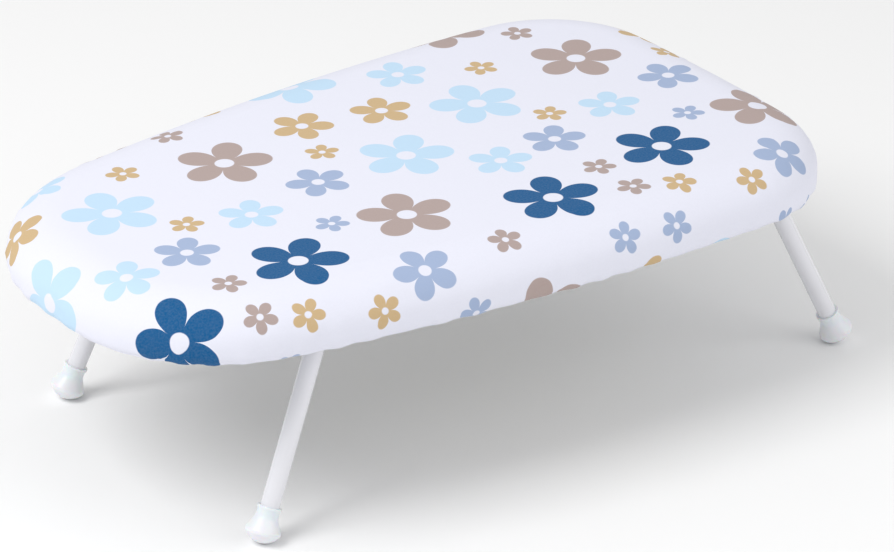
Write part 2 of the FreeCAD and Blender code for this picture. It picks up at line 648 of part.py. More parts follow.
def make_rivets(label, places, turn):
    """Rivets through a bracket and its rail, each with a head below and a set head above."""
    grip = "(dims.strap_wall + dims.rail_wall)"
    reach = "(dims.rivet_diameter / 2)"
    head = "(dims.rivet_head_diameter / 2)"
    body = doc.addObject("PartDesign::Body", f"{label}_body")
    sketch = new_sketch(body, f"{label}_profile", "XZ_Plane")
    cap = "dims.rivet_head_depth"
    crown = f"({head} * dims.rivet_crown)"
    skirt = f"({cap} * dims.rivet_skirt)"
    polygon(sketch, [("0", f"-{cap}"), (crown, f"-{cap}"), (head, f"-{skirt}"), (head, "0"),
                     (reach, "0"), (reach, grip), (head, grip), (head, f"{grip} + {skirt}"),
                     (crown, f"{grip} + {cap}"), ("0", f"{grip} + {cap}")])
    turned = body.newObject("PartDesign::Revolution", f"{label}_turned")
    turned.Profile = sketch
    turned.ReferenceAxis = (sketch, ["V_Axis"])
    turned.Angle = 360
    doc.recompute()
    low = size(f"{RAIL_BOTTOM} - dims.strap_wall")
    solids = []
    for x, y in places:
        place = turn * FreeCAD.Placement(FreeCAD.Vector(size(x), size(y), low), FreeCAD.Rotation())
        solids.append(body.Shape.transformed(place.toMatrix(), True))
    body.removeObjectsFromDocument()
    doc.removeObject(body.Name)
    group = doc.addObject("Part::Feature", f"{label}_group")
    group.Shape = Part.makeCompound(solids)
    name_part(label, group)


# ---------------------------------------------------------------- assembly


def make_leg(end, turn):
    """A leg with its feet, bushes, saddles, stops and rivets; the tail's is the nose's turned half round."""
    pivot = turn * FreeCAD.Placement(FreeCAD.Vector(0, 0, size(PIVOT_LEVEL)), FreeCAD.Rotation())
    tilt = FreeCAD.Rotation(FreeCAD.Vector(0, 1, 0), size("dims.leg_tilt"))
    leg_frame = pivot * FreeCAD.Placement(FreeCAD.Vector(), tilt)
    make_rail(end, turn)
    make_leg_tube(end, leg_frame)
    splay = size("dims.shank_splay")
    length = size(SHANK_LENGTH)
    for side, y_sign in side_signs(end):
        corner = FreeCAD.Vector(0, y_sign * size("dims.leg_half_spacing"), 0)
        lean = FreeCAD.Rotation(FreeCAD.Vector(1, 0, 0), y_sign * splay)
        foot = FreeCAD.Placement(corner, lean) * FreeCAD.Placement(FreeCAD.Vector(0, 0, -length), FreeCAD.Rotation())
        make_foot(f"{end}_{side}_foot", leg_frame * foot)
        saddle = pivot * FreeCAD.Placement(FreeCAD.Vector(0, y_sign * size(SADDLE_PLACE), 0), FreeCAD.Rotation())
        make_bush(f"{end}_{side}_bush", saddle)
        make_saddle(f"{end}_{side}_saddle", saddle)
        stop = pivot * FreeCAD.Placement(FreeCAD.Vector(0, y_sign * size(STOP_PLACE), 0), FreeCAD.Rotation())
        make_stop(f"{end}_{side}_stop", stop)
    saddle_places, stop_places = rivet_places()
    make_rivets(f"{end}_saddle_rivets", saddle_places, turn)
    make_rivets(f"{end}_stop_rivets", stop_places, turn)


def side_signs(end):
    """Left and right as seen from the tail; the tail leg's own frame is turned half round."""
    turned = -1 if end == "tail" else 1
    return (("left", turned), ("right", -turned))


def half_turn(x, degrees):
    return FreeCAD.Placement(FreeCAD.Vector(x, 0, 0), FreeCAD.Rotation(FreeCAD.Vector(0, 0, 1), degrees))


def centre_footprint():
    """Moves every sub-part so that the origin lies under the middle of the open board's footprint."""
    shift = FreeCAD.Placement(FreeCAD.Vector(-size(TAIL_OVERHANG) / 2, 0, 0), FreeCAD.Rotation())
    for item in sub_parts:
        item.Placement = shift * item.Placement


def check_document():
    """Stops before anything is written if a feature failed or a sub-part isn't a sound solid."""
    for item in doc.Objects:
        if "Invalid" in item.State or "Error" in item.State:
            raise RuntimeError(f"{item.Name} failed: {item.State}")
    for item in sub_parts:
        if item.Shape.isNull() or not item.Shape.isValid():
            raise RuntimeError(f"{item.Label} has no sound shape")
        print(item.Label, len(item.Shape.Solids), "solids", round(item.Shape.Volume), "mm3")


def export_parts():
    os.makedirs("parts", exist_ok=True)
    for item in sub_parts:
        item.Shape.exportStep(f"parts/{item.Label}.step")


nose_x = size(f"dims.nose_pivot_inset - {HALF_LENGTH}")
tail_x = size(f"{HALF_LENGTH} - {TAIL_PIVOT_INSET}")
make_cover()
make_elastic()
make_foam()
make_rim()
make_mesh()
make_leg("nose", half_turn(nose_x, 0))
make_leg("tail", half_turn(tail_x, 180))
doc.recompute()
centre_footprint()
doc.recompute()
check_document()
export_parts()
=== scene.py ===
# %% [markdown]
# # A tabletop ironing board
# A steel frame carries a soft pad and a fitted cotton cover, and stands on two folding tube legs.
# The frame, the legs and the small parts come finished from the CAD model, so this lesson gives
# them their finishes, and makes the soft parts and the stitches and welds that CAD leaves out.
#
# Everything is in metres, with the origin on the table below the middle of the open board.
# The narrow nose points to -X and the table is at Z = 0.

# %% Load the frame
import math
import random

import bmesh
import bpy
import numpy as np
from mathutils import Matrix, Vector


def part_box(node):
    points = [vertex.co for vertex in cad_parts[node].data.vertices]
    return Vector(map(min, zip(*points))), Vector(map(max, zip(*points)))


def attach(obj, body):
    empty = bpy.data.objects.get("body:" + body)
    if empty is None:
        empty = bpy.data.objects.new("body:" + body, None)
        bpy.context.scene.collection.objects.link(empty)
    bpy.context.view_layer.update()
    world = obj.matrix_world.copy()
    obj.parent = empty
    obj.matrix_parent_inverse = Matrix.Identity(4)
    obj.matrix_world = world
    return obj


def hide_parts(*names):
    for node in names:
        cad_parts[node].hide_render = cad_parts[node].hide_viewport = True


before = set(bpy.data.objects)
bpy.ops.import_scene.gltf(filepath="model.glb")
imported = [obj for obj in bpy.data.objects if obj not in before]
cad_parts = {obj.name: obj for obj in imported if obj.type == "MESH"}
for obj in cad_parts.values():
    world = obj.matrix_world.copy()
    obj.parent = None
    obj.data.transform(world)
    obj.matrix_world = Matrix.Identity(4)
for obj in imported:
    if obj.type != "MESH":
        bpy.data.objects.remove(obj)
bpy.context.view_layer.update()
MM = 0.001

# %% [markdown]
# ## The camera
# A long lens a few metres away keeps the board's long edges almost parallel, as in a catalogue
# picture. The camera is placed by two angles and a distance from the point that it looks at,
# because that is easier to think about than three coordinates.

# %% Camera
CAMERA_AZIMUTH = math.radians(-35.4)
CAMERA_ELEVATION = math.radians(26.6)
CAMERA_DISTANCE = 3.157
CAMERA_TARGET = Vector((-0.026, -0.1134, 0.1434))

backwards = Vector((
    math.sin(CAMERA_AZIMUTH) * math.cos(CAMERA_ELEVATION),
    -math.cos(CAMERA_AZIMUTH) * math.cos(CAMERA_ELEVATION),
    math.sin(CAMERA_ELEVATION),
))
bpy.ops.object.camera_add(location=CAMERA_TARGET + backwards * CAMERA_DISTANCE)
camera = bpy.context.object
camera.rotation_euler = (-backwards).to_track_quat("-Z", "Y").to_euler()
camera.rotation_euler.rotate_axis("Z", math.radians(-0.38))
camera.data.lens = 177.7
camera.data.shift_x = -0.0294
camera.data.shift_y = -0.0006
camera.data.clip_end = 30
bpy.context.scene.camera = camera
print("The camera stands at", [round(value, 2) for value in camera.location])

# %% [markdown]
# ## Small helpers
# Three habits keep the rest short. Nothing stays selected between steps. A finished piece has its
# place in its mesh, with its object at the origin. And each piece rides on the CAD body that
# carries it, so it moves when a leg folds.

# %% Helpers for pieces
def clear_selection():
    """Leaves nothing selected, in object mode."""
    if bpy.context.object and bpy.context.object.mode != "OBJECT":
        bpy.ops.object.mode_set(mode="OBJECT")
    bpy.ops.object.select_all(action="DESELECT")


def select_only(piece):
    """Makes one piece the selected and active one."""
    clear_selection()
    piece.select_set(True)
    bpy.context.view_layer.objects.active = piece


def apply_modifiers(piece):
    """Applies all of a piece's modifiers, first to last."""
    select_only(piece)
    for modifier in list(piece.modifiers):
        bpy.ops.object.modifier_apply(modifier=modifier.name)


def finish_piece(piece, name, body, finish):
    """Names a piece, puts its place into its mesh, gives it a finish and lets it ride on a body."""
    piece.name = name
    piece.data.name = name
    select_only(piece)
    bpy.ops.object.transform_apply(location=True, rotation=True, scale=True)
    piece.data.materials.clear()
    piece.data.materials.append(finish)
    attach(piece, body)
    print(name, "has", len(piece.data.polygons), "faces")
    return piece


# %% [markdown]
# ## How a finish is built
# Every finish is a small net of shader nodes round one Principled BSDF. Two helpers keep the nets
# readable: one starts a finish, and one adds a bump from any pattern.

# %% Helpers for finishes
def start_finish(name, **values):
    """A new material with one Principled BSDF, whose plain values are set on its own sockets."""
    finish = bpy.data.materials.new(name)
    finish.use_nodes = True
    shader = finish.node_tree.nodes["Principled BSDF"]
    for socket, value in values.items():
        shader.inputs[socket.replace("_", " ")].default_value = value
    return finish, finish.node_tree, shader


def add_node(tree, kind, **values):
    """Adds a node. A value whose name is one of the node's settings is set there, others on its sockets."""
    node = tree.nodes.new(kind)
    for key, value in values.items():
        if hasattr(node, key):
            setattr(node, key, value)
        else:
            node.inputs[key.replace("_", " ")].default_value = value
    return node


def add_noise(tree, scale, detail=3.0, roughness=0.5):
    """Noise that is fixed to the piece, scale being its lumps in a metre."""
    place = add_node(tree, "ShaderNodeTexCoord")
    noise = add_node(tree, "ShaderNodeTexNoise", Scale=scale, Detail=detail, Roughness=roughness)
    tree.links.new(place.outputs["Object"], noise.inputs["Vector"])
    return noise.outputs["Fac"]


def add_range(tree, value, low, high, new_low, new_high):
    """Stretches values from low..high to new_low..new_high."""
    node = add_node(tree, "ShaderNodeMapRange", From_Min=low, From_Max=high, To_Min=new_low, To_Max=new_high)
    tree.links.new(value, node.inputs["Value"])
    return node.outputs["Result"]


def add_bump(tree, shader, height, depth, strength=1.0):
    """Makes a pattern of heights into small relief, depth metres from lowest to highest."""
    bump = add_node(tree, "ShaderNodeBump", Strength=strength, Distance=depth)
    tree.links.new(height, bump.inputs["Height"])
    tree.links.new(bump.outputs["Normal"], shader.inputs["Normal"])
    return bump


def mix_colours(tree, factor, first, second):
    """A colour between two, by a factor from the net. Each colour is a value or a socket."""
    mix = add_node(tree, "ShaderNodeMix", data_type="RGBA")
    tree.links.new(factor, mix.inputs["Factor"])
    for socket, colour in ((mix.inputs["A"], first), (mix.inputs["B"], second)):
        if hasattr(colour, "is_linked"):
            tree.links.new(colour, socket)
        else:
            socket.default_value = colour
    return mix.outputs["Result"]


def colour(red, green, blue):
    """A colour given as on a screen, 0 to 255, made linear as the shader wants it."""
    def linear(value):
        value = value / 255
        return value / 12.92 if value <= 0.04045 else ((value + 0.055) / 1.055) ** 2.4
    return (linear(red), linear(green), linear(blue), 1.0)


# %% [markdown]
# ## The board's outline
# Cover and pad both follow the edge of the board. Instead of repeating its arcs, rays are cast at
# the CAD cover's upright side, all round, and the hits are spaced evenly. The same points moved
# inwards along their normals give every ring of the soft parts.

# %% Outline of the board
OUTLINE_POINTS = 400
SIDE_LEVEL = 160 * MM


def cast_outline(count):
    """Where rays from far outside meet the CAD cover's side, in order round it, seen from above."""
    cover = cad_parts["cover"]
    middle = Vector(((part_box("cover")[0][0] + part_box("cover")[1][0]) / 2, 0, SIDE_LEVEL))
    hits = []
    for step in range(count):
        angle = 2 * math.pi * step / count
        outwards = Vector((math.cos(angle), math.sin(angle), 0))
        found, place, normal, face = cover.ray_cast(middle + outwards, -outwards)
        hits.append(place[:2])
    return np.array(hits)


def space_evenly(points, count):
    """A closed line of points, spaced evenly along its length."""
    closed = np.vstack([points, points[:1]])
    travel = np.concatenate([[0], np.cumsum(np.linalg.norm(np.diff(closed, axis=0), axis=1))])
    wanted = np.linspace(0, travel[-1], count, endpoint=False)
    return np.column_stack([np.interp(wanted, travel, closed[:, axis]) for axis in (0, 1)])


def normals_of(points):
    """Outward unit normals of a closed line that runs anticlockwise."""
    along = np.roll(points, -1, axis=0) - np.roll(points, 1, axis=0)
    across = np.column_stack([along[:, 1], -along[:, 0]])
    return across / np.linalg.norm(across, axis=1)[:, None]


edge = space_evenly(cast_outline(1440), OUTLINE_POINTS)
for smoothing in range(3):
    edge = (np.roll(edge, 1, axis=0) + 2 * edge + np.roll(edge, -1, axis=0)) / 4
edge_normals = normals_of(edge)
edge_length = np.linalg.norm(np.roll(edge, -1, axis=0) - edge, axis=1).sum()
print("The edge is", round(edge_length, 3), "m round")

# %% Rings and skins
def ring(inset, level, ripple=0.0):
    """The edge moved inwards, at one level. Ripple is added to both, and may differ from point to point."""
    shift = np.zeros(len(edge)) + inset * MM + ripple
    levels = np.zeros(len(edge)) + level * MM + ripple
    return np.column_stack([edge - edge_normals * shift[:, None], levels])


def skin(name, rings, fill_first=True, fill_last=False):
    """A mesh through rings of equal count, outwards and down, with its first or last ring filled."""
    count = len(rings[0])
    faces = []
    for row in range(len(rings) - 1):
        for step in range(count):
            following = (step + 1) % count
            above, below = row * count, (row + 1) * count
            faces.append((above + step, below + step, below + following, above + following))
    mesh = bpy.data.meshes.new(name)
    mesh.from_pydata(np.concatenate(rings).tolist(), [], faces)
    piece = bpy.data.objects.new(name, mesh)
    bpy.context.collection.objects.link(piece)
    ends = ([0] if fill_first else []) + ([len(rings) - 1] if fill_last else [])
    for row in ends:
        fill_ring(piece, row * count, count)
    select_only(piece)
    bpy.ops.object.shade_smooth()
    return piece


def fill_ring(piece, start, count):
    """Fills one ring with an even grid of faces."""
    select_only(piece)
    bpy.ops.object.mode_set(mode="EDIT")
    bpy.ops.mesh.select_mode(type="VERT")
    bpy.ops.mesh.select_all(action="DESELECT")
    net = bmesh.from_edit_mesh(piece.data)
    net.verts.ensure_lookup_table()
    for index in range(start, start + count):
        net.verts[index].select = True
    net.select_flush(True)
    net.select_history.add(net.verts[start])
    bpy.ops.mesh.fill_grid(span=count // 4, offset=count // 8)
    bpy.ops.mesh.select_all(action="SELECT")
    bpy.ops.mesh.normals_make_consistent(inside=False)
    bpy.ops.object.mode_set(mode="OBJECT")


# %% [markdown]
# ## The foam pad
# Under the cover lies a foam pad like a shallow lid: flat on top, rolled over the rim of the frame
# and down its sides. It could be left as the CAD solid, but foam has no sharp edges and swells a
# little wherever nothing holds it. So the pad is a closed skin through rings, and its underside
# bulges softly into the openings of the mesh that it rests on.

# %% Foam pad
QUARTER = [math.radians(angle) for angle in (0, 12, 24, 36, 48, 60, 70, 80, 90)]
PAD_OUTER = [(40 - 38.6 * math.sin(a), 160 + 28.6 * math.cos(a)) for a in QUARTER]
PAD_LOWER = [(1.5, 157), (1.9, 155.6), (2.9, 154.8), (4.0, 154.5), (5.2, 154.9), (6.0, 156), (6.4, 158)]
PAD_INNER = [(21.8 - 15.4 * math.cos(a), 167.2 + 15.4 * math.sin(a)) for a in QUARTER[1:]]
MESH_PITCH_LONG = 36 * MM
MESH_PITCH_SHORT = 17 * MM
BULGE = 1.1 * MM

pad = skin("foam pad", [ring(*place) for place in PAD_OUTER + PAD_LOWER + PAD_INNER], fill_last=True)
mesh_low, mesh_high = (np.array(corner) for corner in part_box("mesh_panel"))
board_middle = (mesh_low + mesh_high) / 2
PAD_UNDERSIDE = 182.6 * MM
for vertex in pad.data.vertices:
    x, y, z = vertex.co
    if abs(z - PAD_UNDERSIDE) < 0.2 * MM:
        wave = math.cos(2 * math.pi * (x - board_middle[0]) / MESH_PITCH_LONG)
        wave *= math.cos(2 * math.pi * (y - board_middle[1]) / MESH_PITCH_SHORT)
        vertex.co.z -= BULGE * max(0.0, wave)
print("The pad has", len(pad.data.vertices), "points")

# %% Foam finish
foam_finish, tree, shader = start_finish("foam", Roughness=0.95, Subsurface_Weight=0.15, Subsurface_Scale=0.004)
cells = add_node(tree, "ShaderNodeTexVoronoi", Scale=900.0)
place = add_node(tree, "ShaderNodeTexCoord")
tree.links.new(place.outputs["Object"], cells.inputs["Vector"])
foam_tone = mix_colours(tree, add_noise(tree, 30), colour(236, 232, 218), colour(246, 244, 236))
tree.links.new(foam_tone, shader.inputs["Base Color"])
add_bump(tree, shader, cells.outputs["Distance"], 0.4 * MM, 0.6)
finish_piece(pad, "pad_foam", "board", foam_finish)
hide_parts("foam_pad")

# %% [markdown]
# ## The cotton cover: its shape
# The cover is one flat piece of cotton, cut larger than the board. Its edge is folded over an
# elastic and sewn down, so it pulls in under the rim and draws the cloth tight over the pad.
# A flat cut gathers where it turns under, because there is more cloth than way to go. The skin
# starts as smooth rings: rolled over the pad, down the side, back under the rim, and round the
# elastic. Small ripples in the lowest rings are the gathers.

# %% Cover shape
ROLL_WIDTH = 40
ROLL_HEIGHT = 30
COVER_TOP = 190
COVER_BOTTOM = 146
TURN = 8
COVER_ROLL = [(ROLL_WIDTH * (1 - math.sin(a)), COVER_TOP - ROLL_HEIGHT * (1 - math.cos(a))) for a in QUARTER]
COVER_TURN = [(TURN * (1 - math.cos(a)), COVER_BOTTOM + TURN * (1 - math.sin(a))) for a in QUARTER[::2]]
COVER_BAND = [(inset, COVER_BOTTOM) for inset in (11, 14, 17, 19.5)]
HEM_MIDDLE = (24.2, COVER_BOTTOM + 2.7)
HEM_RADIUS = 3.1
HEM_TURN = [math.radians(angle) for angle in (-150, -115, -80, -45, -10, 25, 60, 95, 130, 165, 190)]
COVER_HEM = [(HEM_MIDDLE[0] + HEM_RADIUS * math.cos(a), HEM_MIDDLE[1] + HEM_RADIUS * math.sin(a)) for a in HEM_TURN]
COVER_ROWS = COVER_ROLL + COVER_TURN + COVER_BAND + COVER_HEM
print("The cover's skin has", len(COVER_ROWS), "rings")

# %% Gathers
way_round = np.arange(OUTLINE_POINTS) / OUTLINE_POINTS * 2 * math.pi


def gathers(depth):
    """Uneven ridges round the edge, outwards and down, depth millimetres at most."""
    fine = (0.5 + 0.5 * np.sin(67 * way_round + 1.6 * np.sin(5 * way_round))) ** 1.5
    broad = 0.5 + 0.5 * np.sin(13 * way_round + 2.0 * np.sin(3 * way_round))
    return -depth * MM * fine * (0.25 + 0.75 * broad)


ROLL_PUCKERS = [0, 0, 0, 0, 0.1, 0.2, 0.35, 0.5, 0.65]
TURN_PUCKERS = [0.8, 0.9, 0.9, 0.8, 0.8]
BAND_PUCKERS = [0.8, 0.8, 0.7, 0.6]
PUCKERS = ROLL_PUCKERS + TURN_PUCKERS + BAND_PUCKERS + [0.45] * len(COVER_HEM)
rings = [ring(inset, level, gathers(depth)) for (inset, level), depth in zip(COVER_ROWS, PUCKERS)]
cover = skin("cover", rings)
print("The cover's skin has", len(cover.data.vertices), "points")

# %% [markdown]
# ## The cover: its flat cut
# The print was on the cloth before it was cut. So each point of the cover remembers its place on
# the flat cut, as a UV map in metres: on top that is simply X and Y, and beyond the roll it is the
# last flat point plus the way travelled down the side. The flowers then bend over the edge as they
# do on real cloth.

# %% Flat cut
travel = [0.0]
for (inset, level), (next_inset, next_level) in zip(COVER_ROWS, COVER_ROWS[1:]):
    travel.append(travel[-1] + math.hypot(next_inset - inset, next_level - level) * MM)
flat_edge = edge - edge_normals * ROLL_WIDTH * MM
flat_rows = np.concatenate([flat_edge + edge_normals * way for way in travel])
flat_places = np.array([vertex.co[:2] for vertex in cover.data.vertices])
flat_places[:len(flat_rows)] = flat_rows
flat_cut = cover.data.uv_layers.new(name="flat_cut")
for corner in cover.data.loops:
    flat_cut.data[corner.index].uv = flat_places[corner.vertex_index]

# %% [markdown]
# ## The cover: settling the cloth
# A skin through perfect rings looks like plastic. Real cotton has a little spare length where the
# elastic gathers it, and shows it as soft puckers along the side. Blender's cloth is told to grow by
# a few percent low on the side, with the hem and the middle of the top held, and the pad below as
# something to lie on. Left alone, the cloth sinks further than a stretched cover can, so only a
# part of its movement is kept: little inwards and along, a few millimetres outwards, none on top.

# %% Settling
SETTLE_FRAMES = 16
RISE_LIMIT = 2.6 * MM
SINK_LIMIT = 0.2 * MM
ALONG_LIMIT = 1.0 * MM


def settle(piece, solid, held, spare, free, growth):
    """Runs a short cloth simulation on a piece over a solid one, and keeps the result within the limits."""
    for name, weights in (("held", held), ("spare", spare)):
        group = piece.vertex_groups.new(name=name)
        for index, weight in enumerate(weights):
            group.add([index], float(weight), "REPLACE")
    touch = solid.modifiers.new("touch", "COLLISION")
    solid.collision.thickness_outer = 0.4 * MM
    cloth = piece.modifiers.new("settle", "CLOTH")
    cloth.settings.quality = 4
    cloth.settings.mass = 0.15
    cloth.settings.tension_stiffness = 12
    cloth.settings.compression_stiffness = 12
    cloth.settings.bending_stiffness = 0.6
    cloth.settings.vertex_group_mass = "held"
    cloth.settings.vertex_group_shrink = "spare"
    cloth.settings.shrink_min = 0.0
    cloth.settings.shrink_max = -growth
    cloth.settings.effector_weights.gravity = 0.2
    cloth.collision_settings.distance_min = 0.5 * MM
    cloth.collision_settings.use_self_collision = False
    cloth.point_cache.frame_end = SETTLE_FRAMES
    before = np.array([vertex.co[:] for vertex in piece.data.vertices])
    for step in range(1, SETTLE_FRAMES + 1):
        bpy.context.scene.frame_set(step)
    settled = piece.evaluated_get(bpy.context.evaluated_depsgraph_get()).data
    moved = np.array([vertex.co[:] for vertex in settled.vertices]) - before
    lengths = np.linalg.norm(moved, axis=1)
    outwards = np.array([vertex.normal[:] for vertex in piece.data.vertices])
    rise = (moved * outwards).sum(axis=1)
    along = moved - outwards * rise[:, None]
    along *= np.minimum(1, ALONG_LIMIT / np.maximum(np.linalg.norm(along, axis=1), 1e-9))[:, None]
    moved = (along + outwards * np.clip(rise, -SINK_LIMIT, RISE_LIMIT)[:, None]) * free[:, None]
    piece.modifiers.remove(cloth)
    solid.modifiers.remove(touch)
    bpy.context.scene.frame_set(1)
    piece.data.vertices.foreach_set("co", (before + moved).ravel())
    piece.data.update()
    print(piece.name, "moved by up to", round(lengths.max() * 1000, 2), "mm, rose by up to",
          round(float(rise.max()) * 1000, 2), "mm and sank by up to", round(float(-rise.min()) * 1000, 2), "mm")


rows = len(COVER_ROWS)
row_of_point = np.full(len(cover.data.vertices), -1)
row_of_point[:rows * OUTLINE_POINTS] = np.repeat(np.arange(rows), OUTLINE_POINTS)
first_band = len(COVER_ROLL) + len(COVER_TURN)
held = np.where(row_of_point >= first_band + 1, 1.0, 0.0)
held[row_of_point < 0] = 1.0
spare = np.where(row_of_point >= 2, np.minimum(1.0, (row_of_point - 2) / 4), 0.0)
free = np.clip(row_of_point / 5, 0, 1) ** 2
settle(cover, pad, held, spare, free, growth=0.045)

# %% Cover thickness
COTTON_THICKNESS = 1.0 * MM
wall = cover.modifiers.new("cotton", "SOLIDIFY")
wall.thickness = COTTON_THICKNESS
wall.offset = -1
apply_modifiers(cover)
print("With its thickness the cover has", len(cover.data.polygons), "faces")

# %% [markdown]
# ## The cover: one printed flower
# The print is a plain scatter of flowers in three sizes and five flat colours. All have one shape,
# so one node group draws it: five round petals and a dot. In polar terms the edge of such a flower
# is a radius that swells and shrinks five times in a turn. The group measures how far a point is
# inside that edge, in metres.

# %% Helpers for patterns
def calculate(tree, operation, *values, clamp=False):
    """A Math node on numbers and sockets."""
    node = add_node(tree, "ShaderNodeMath", operation=operation, use_clamp=clamp)
    for socket, value in zip(node.inputs, values):
        if isinstance(value, (int, float)):
            socket.default_value = value
        else:
            tree.links.new(value, socket)
    return node.outputs["Value"]


def start_pattern(name, inputs, outputs):
    """A node group with number inputs and outputs, and its input and output sockets by name."""
    group = bpy.data.node_groups.new(name, "ShaderNodeTree")
    for label in inputs:
        group.interface.new_socket(label, in_out="INPUT", socket_type="NodeSocketFloat")
    for label in outputs:
        group.interface.new_socket(label, in_out="OUTPUT", socket_type="NodeSocketFloat")
    return group, group.nodes.new("NodeGroupInput").outputs, group.nodes.new("NodeGroupOutput").inputs


# %% Where a point lies in the repeat
REPEAT_ALONG = (320, 0)
REPEAT_ACROSS = (160, 400)


def make_repeat():
    """The way from the nearest copy of a flower, for a print that repeats along two slanted lines."""
    group, given, result = start_pattern("nearest copy", ("X", "Y", "Place X", "Place Y"), ("X", "Y"))
    x = calculate(group, "SUBTRACT", given["X"], given["Place X"])
    y = calculate(group, "SUBTRACT", given["Y"], given["Place Y"])
    (ax, ay), (bx, by) = REPEAT_ALONG, REPEAT_ACROSS
    size = (ax * by - ay * bx) * MM
    along = calculate(group, "ADD", calculate(group, "MULTIPLY", x, by / size),
                      calculate(group, "MULTIPLY", y, -bx / size))
    across = calculate(group, "ADD", calculate(group, "MULTIPLY", x, -ay / size),
                       calculate(group, "MULTIPLY", y, ax / size))
    along = calculate(group, "ROUND", along)
    across = calculate(group, "ROUND", across)
    for label, start, one, other in (("X", x, ax, bx), ("Y", y, ay, by)):
        shift = calculate(group, "ADD", calculate(group, "MULTIPLY", along, one * MM),
                          calculate(group, "MULTIPLY", across, other * MM))
        group.links.new(calculate(group, "SUBTRACT", start, shift), result[label])
    return group


repeat_pattern = make_repeat()
print("The print repeats every", REPEAT_ALONG, "and", REPEAT_ACROSS, "mm")

# %% Flower
PETALS = 5
WAIST = 0.3
PETAL_POWER = 0.6
DOT = 0.2
PRINT_SOFTNESS = 0.35 * MM


def make_flower():
    """How much of a flower's petals and of its dot covers a point."""
    group, given, result = start_pattern("flower", ("X", "Y", "Radius", "Turn"), ("Petals", "Dot"))
    squares = [calculate(group, "MULTIPLY", given[axis], given[axis]) for axis in "XY"]
    distance = calculate(group, "SQRT", calculate(group, "ADD", *squares))
    bearing = calculate(group, "ARCTAN2", given["Y"], given["X"])
    bearing = calculate(group, "SUBTRACT", bearing, given["Turn"])
    lobe = calculate(group, "COSINE", calculate(group, "MULTIPLY", bearing, PETALS / 2))
    lobe = calculate(group, "POWER", calculate(group, "ABSOLUTE", lobe), PETAL_POWER)
    reach = calculate(group, "MULTIPLY_ADD", lobe, 1 - WAIST, WAIST)
    for label, share in (("Petals", reach), ("Dot", DOT)):
        inside = calculate(group, "MULTIPLY", given["Radius"], share)
        inside = calculate(group, "SUBTRACT", inside, distance)
        covered = calculate(group, "MULTIPLY_ADD", inside, 0.5 / PRINT_SOFTNESS, 0.5, clamp=True)
        group.links.new(covered, result[label])
    return group


flower_pattern = make_flower()
print("One flower takes", len(flower_pattern.nodes), "nodes")

# %% [markdown]
# ## The cover: the print
# A printer lays one colour after another, pale ones first, and the net does the same. Nobody has to
# draw the layout: it could be a list of places, but a simple rule makes an even scatter. Each new
# flower tries a number of places, and takes the one with the most free cloth round it. Large
# flowers go first, and small ones fill the gaps. The seed is fixed, so every run prints the same.

# %% Colours of the print
GROUND = colour(230, 231, 243)
SKY = colour(192, 220, 242)
LAVENDER = colour(162, 179, 210)
TAUPE = colour(176, 158, 153)
TAN = colour(203, 175, 132)
DEEP_BLUE = colour(0, 86, 140)

# %% Flowers of one repeat
SIZES = [(36, 8, (SKY, TAUPE, DEEP_BLUE)), (24, 9, (LAVENDER, TAN, SKY)), (13, 14, (TAN, LAVENDER, TAUPE))]
TRIES = 60


def gap_between(first, second):
    """Free cloth between two flowers, with the second also seen in the repeats all round."""
    gaps = []
    for along in (-1, 0, 1):
        for across in (-1, 0, 1):
            x = second[0] + along * REPEAT_ALONG[0] + across * REPEAT_ACROSS[0]
            y = second[1] + along * REPEAT_ALONG[1] + across * REPEAT_ACROSS[1]
            gaps.append(math.hypot(first[0] - x, first[1] - y) - first[2] - second[2])
    return min(gaps)


def scatter_flowers():
    """Flowers as place, radius, turn and ink, each where it has the most room of a few tries."""
    draw = random.Random(12)
    flowers = []
    for radius, count, inks in SIZES:
        for number in range(count):
            tries = []
            for attempt in range(TRIES):
                along, across = draw.random(), draw.random()
                x = along * REPEAT_ALONG[0] + across * REPEAT_ACROSS[0]
                y = along * REPEAT_ALONG[1] + across * REPEAT_ACROSS[1]
                room = min([gap_between((x, y, radius), other) for other in flowers], default=0)
                tries.append((room, x, y))
            room, x, y = max(tries)
            flowers.append((x, y, radius, draw.uniform(0, 360 / PETALS), inks[number % len(inks)]))
    return flowers


FLOWERS = scatter_flowers()
print("One repeat has", len(FLOWERS), "flowers")

# %% Printed cotton
def add_pattern(tree, group, **values):
    """One node of a group, its inputs set to numbers or joined to sockets."""
    node = tree.nodes.new("ShaderNodeGroup")
    node.node_tree = group
    for key, value in values.items():
        socket = node.inputs[key.replace("_", " ")]
        if isinstance(value, (int, float)):
            socket.default_value = value
        else:
            tree.links.new(value, socket)
    return node.outputs


def add_print(tree, x, y):
    """The printed colour at a place on the flat cut."""
    paint = GROUND
    for flower_x, flower_y, radius, turn, ink in FLOWERS:
        near = add_pattern(tree, repeat_pattern, X=x, Y=y, Place_X=flower_x * MM,
                           Place_Y=flower_y * MM)
        flower = add_pattern(tree, flower_pattern, X=near["X"], Y=near["Y"], Radius=radius * MM,
                             Turn=math.radians(turn))
        inked = calculate(tree, "SUBTRACT", flower["Petals"], flower["Dot"])
        paint = mix_colours(tree, inked, paint, ink)
    return paint


